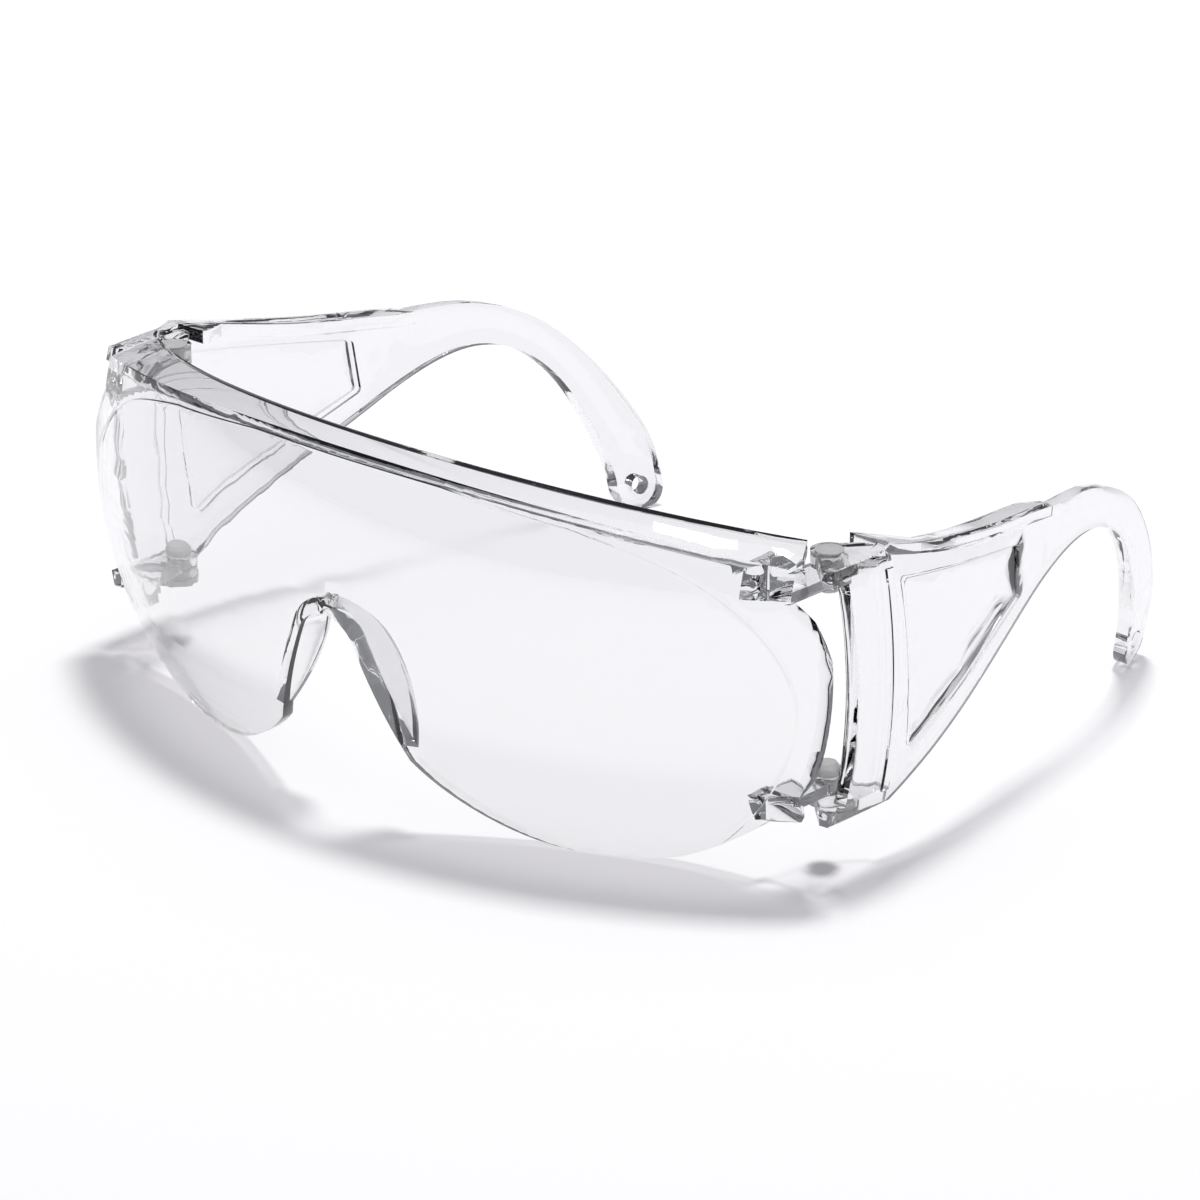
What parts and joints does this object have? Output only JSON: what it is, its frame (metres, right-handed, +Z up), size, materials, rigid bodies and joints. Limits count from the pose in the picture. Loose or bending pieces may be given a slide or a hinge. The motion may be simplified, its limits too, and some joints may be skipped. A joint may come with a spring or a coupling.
{
  "type": "safety glasses",
  "caption": "Clear over-spectacles safety glasses: one-piece wrap lens with brow guard and nose bridge, folding side-shield temples with ear hooks.",
  "frame": {"origin": "middle of the whole footprint, on the floor the open glasses stand on", "axes": "+X to the wearer's left, +Y from the lens back to the ear hooks, +Z up; X = 0 is the plane of symmetry"},
  "size_m": [0.1596, 0.1388, 0.061],
  "materials": {
    "clear_lens": "polished clear polycarbonate",
    "clear_temple": "polished clear polycarbonate",
    "milky_pin": "milky natural nylon"
  },
  "bodies": {
    "lens": {"lens": "clear_lens"},
    "temple_left": {"temple_left": "clear_temple", "hinge_pin_upper_left": "milky_pin", "hinge_pin_lower_left": "milky_pin"},
    "temple_right": {"temple_right": "clear_temple", "hinge_pin_upper_right": "milky_pin", "hinge_pin_lower_right": "milky_pin"}
  },
  "joints": [
    {"name": "left_temple_hinge", "type": "hinge", "parent": "lens", "child": "temple_left", "pos_m": [0.07, -0.03105, 0.0309], "axis": [0, 0, 1], "range_deg": [0, 90]},
    {"name": "right_temple_hinge", "type": "hinge", "parent": "lens", "child": "temple_right", "pos_m": [-0.07, -0.03105, 0.0309], "axis": [0, 0, -1], "range_deg": [0, 82]}
  ]
}
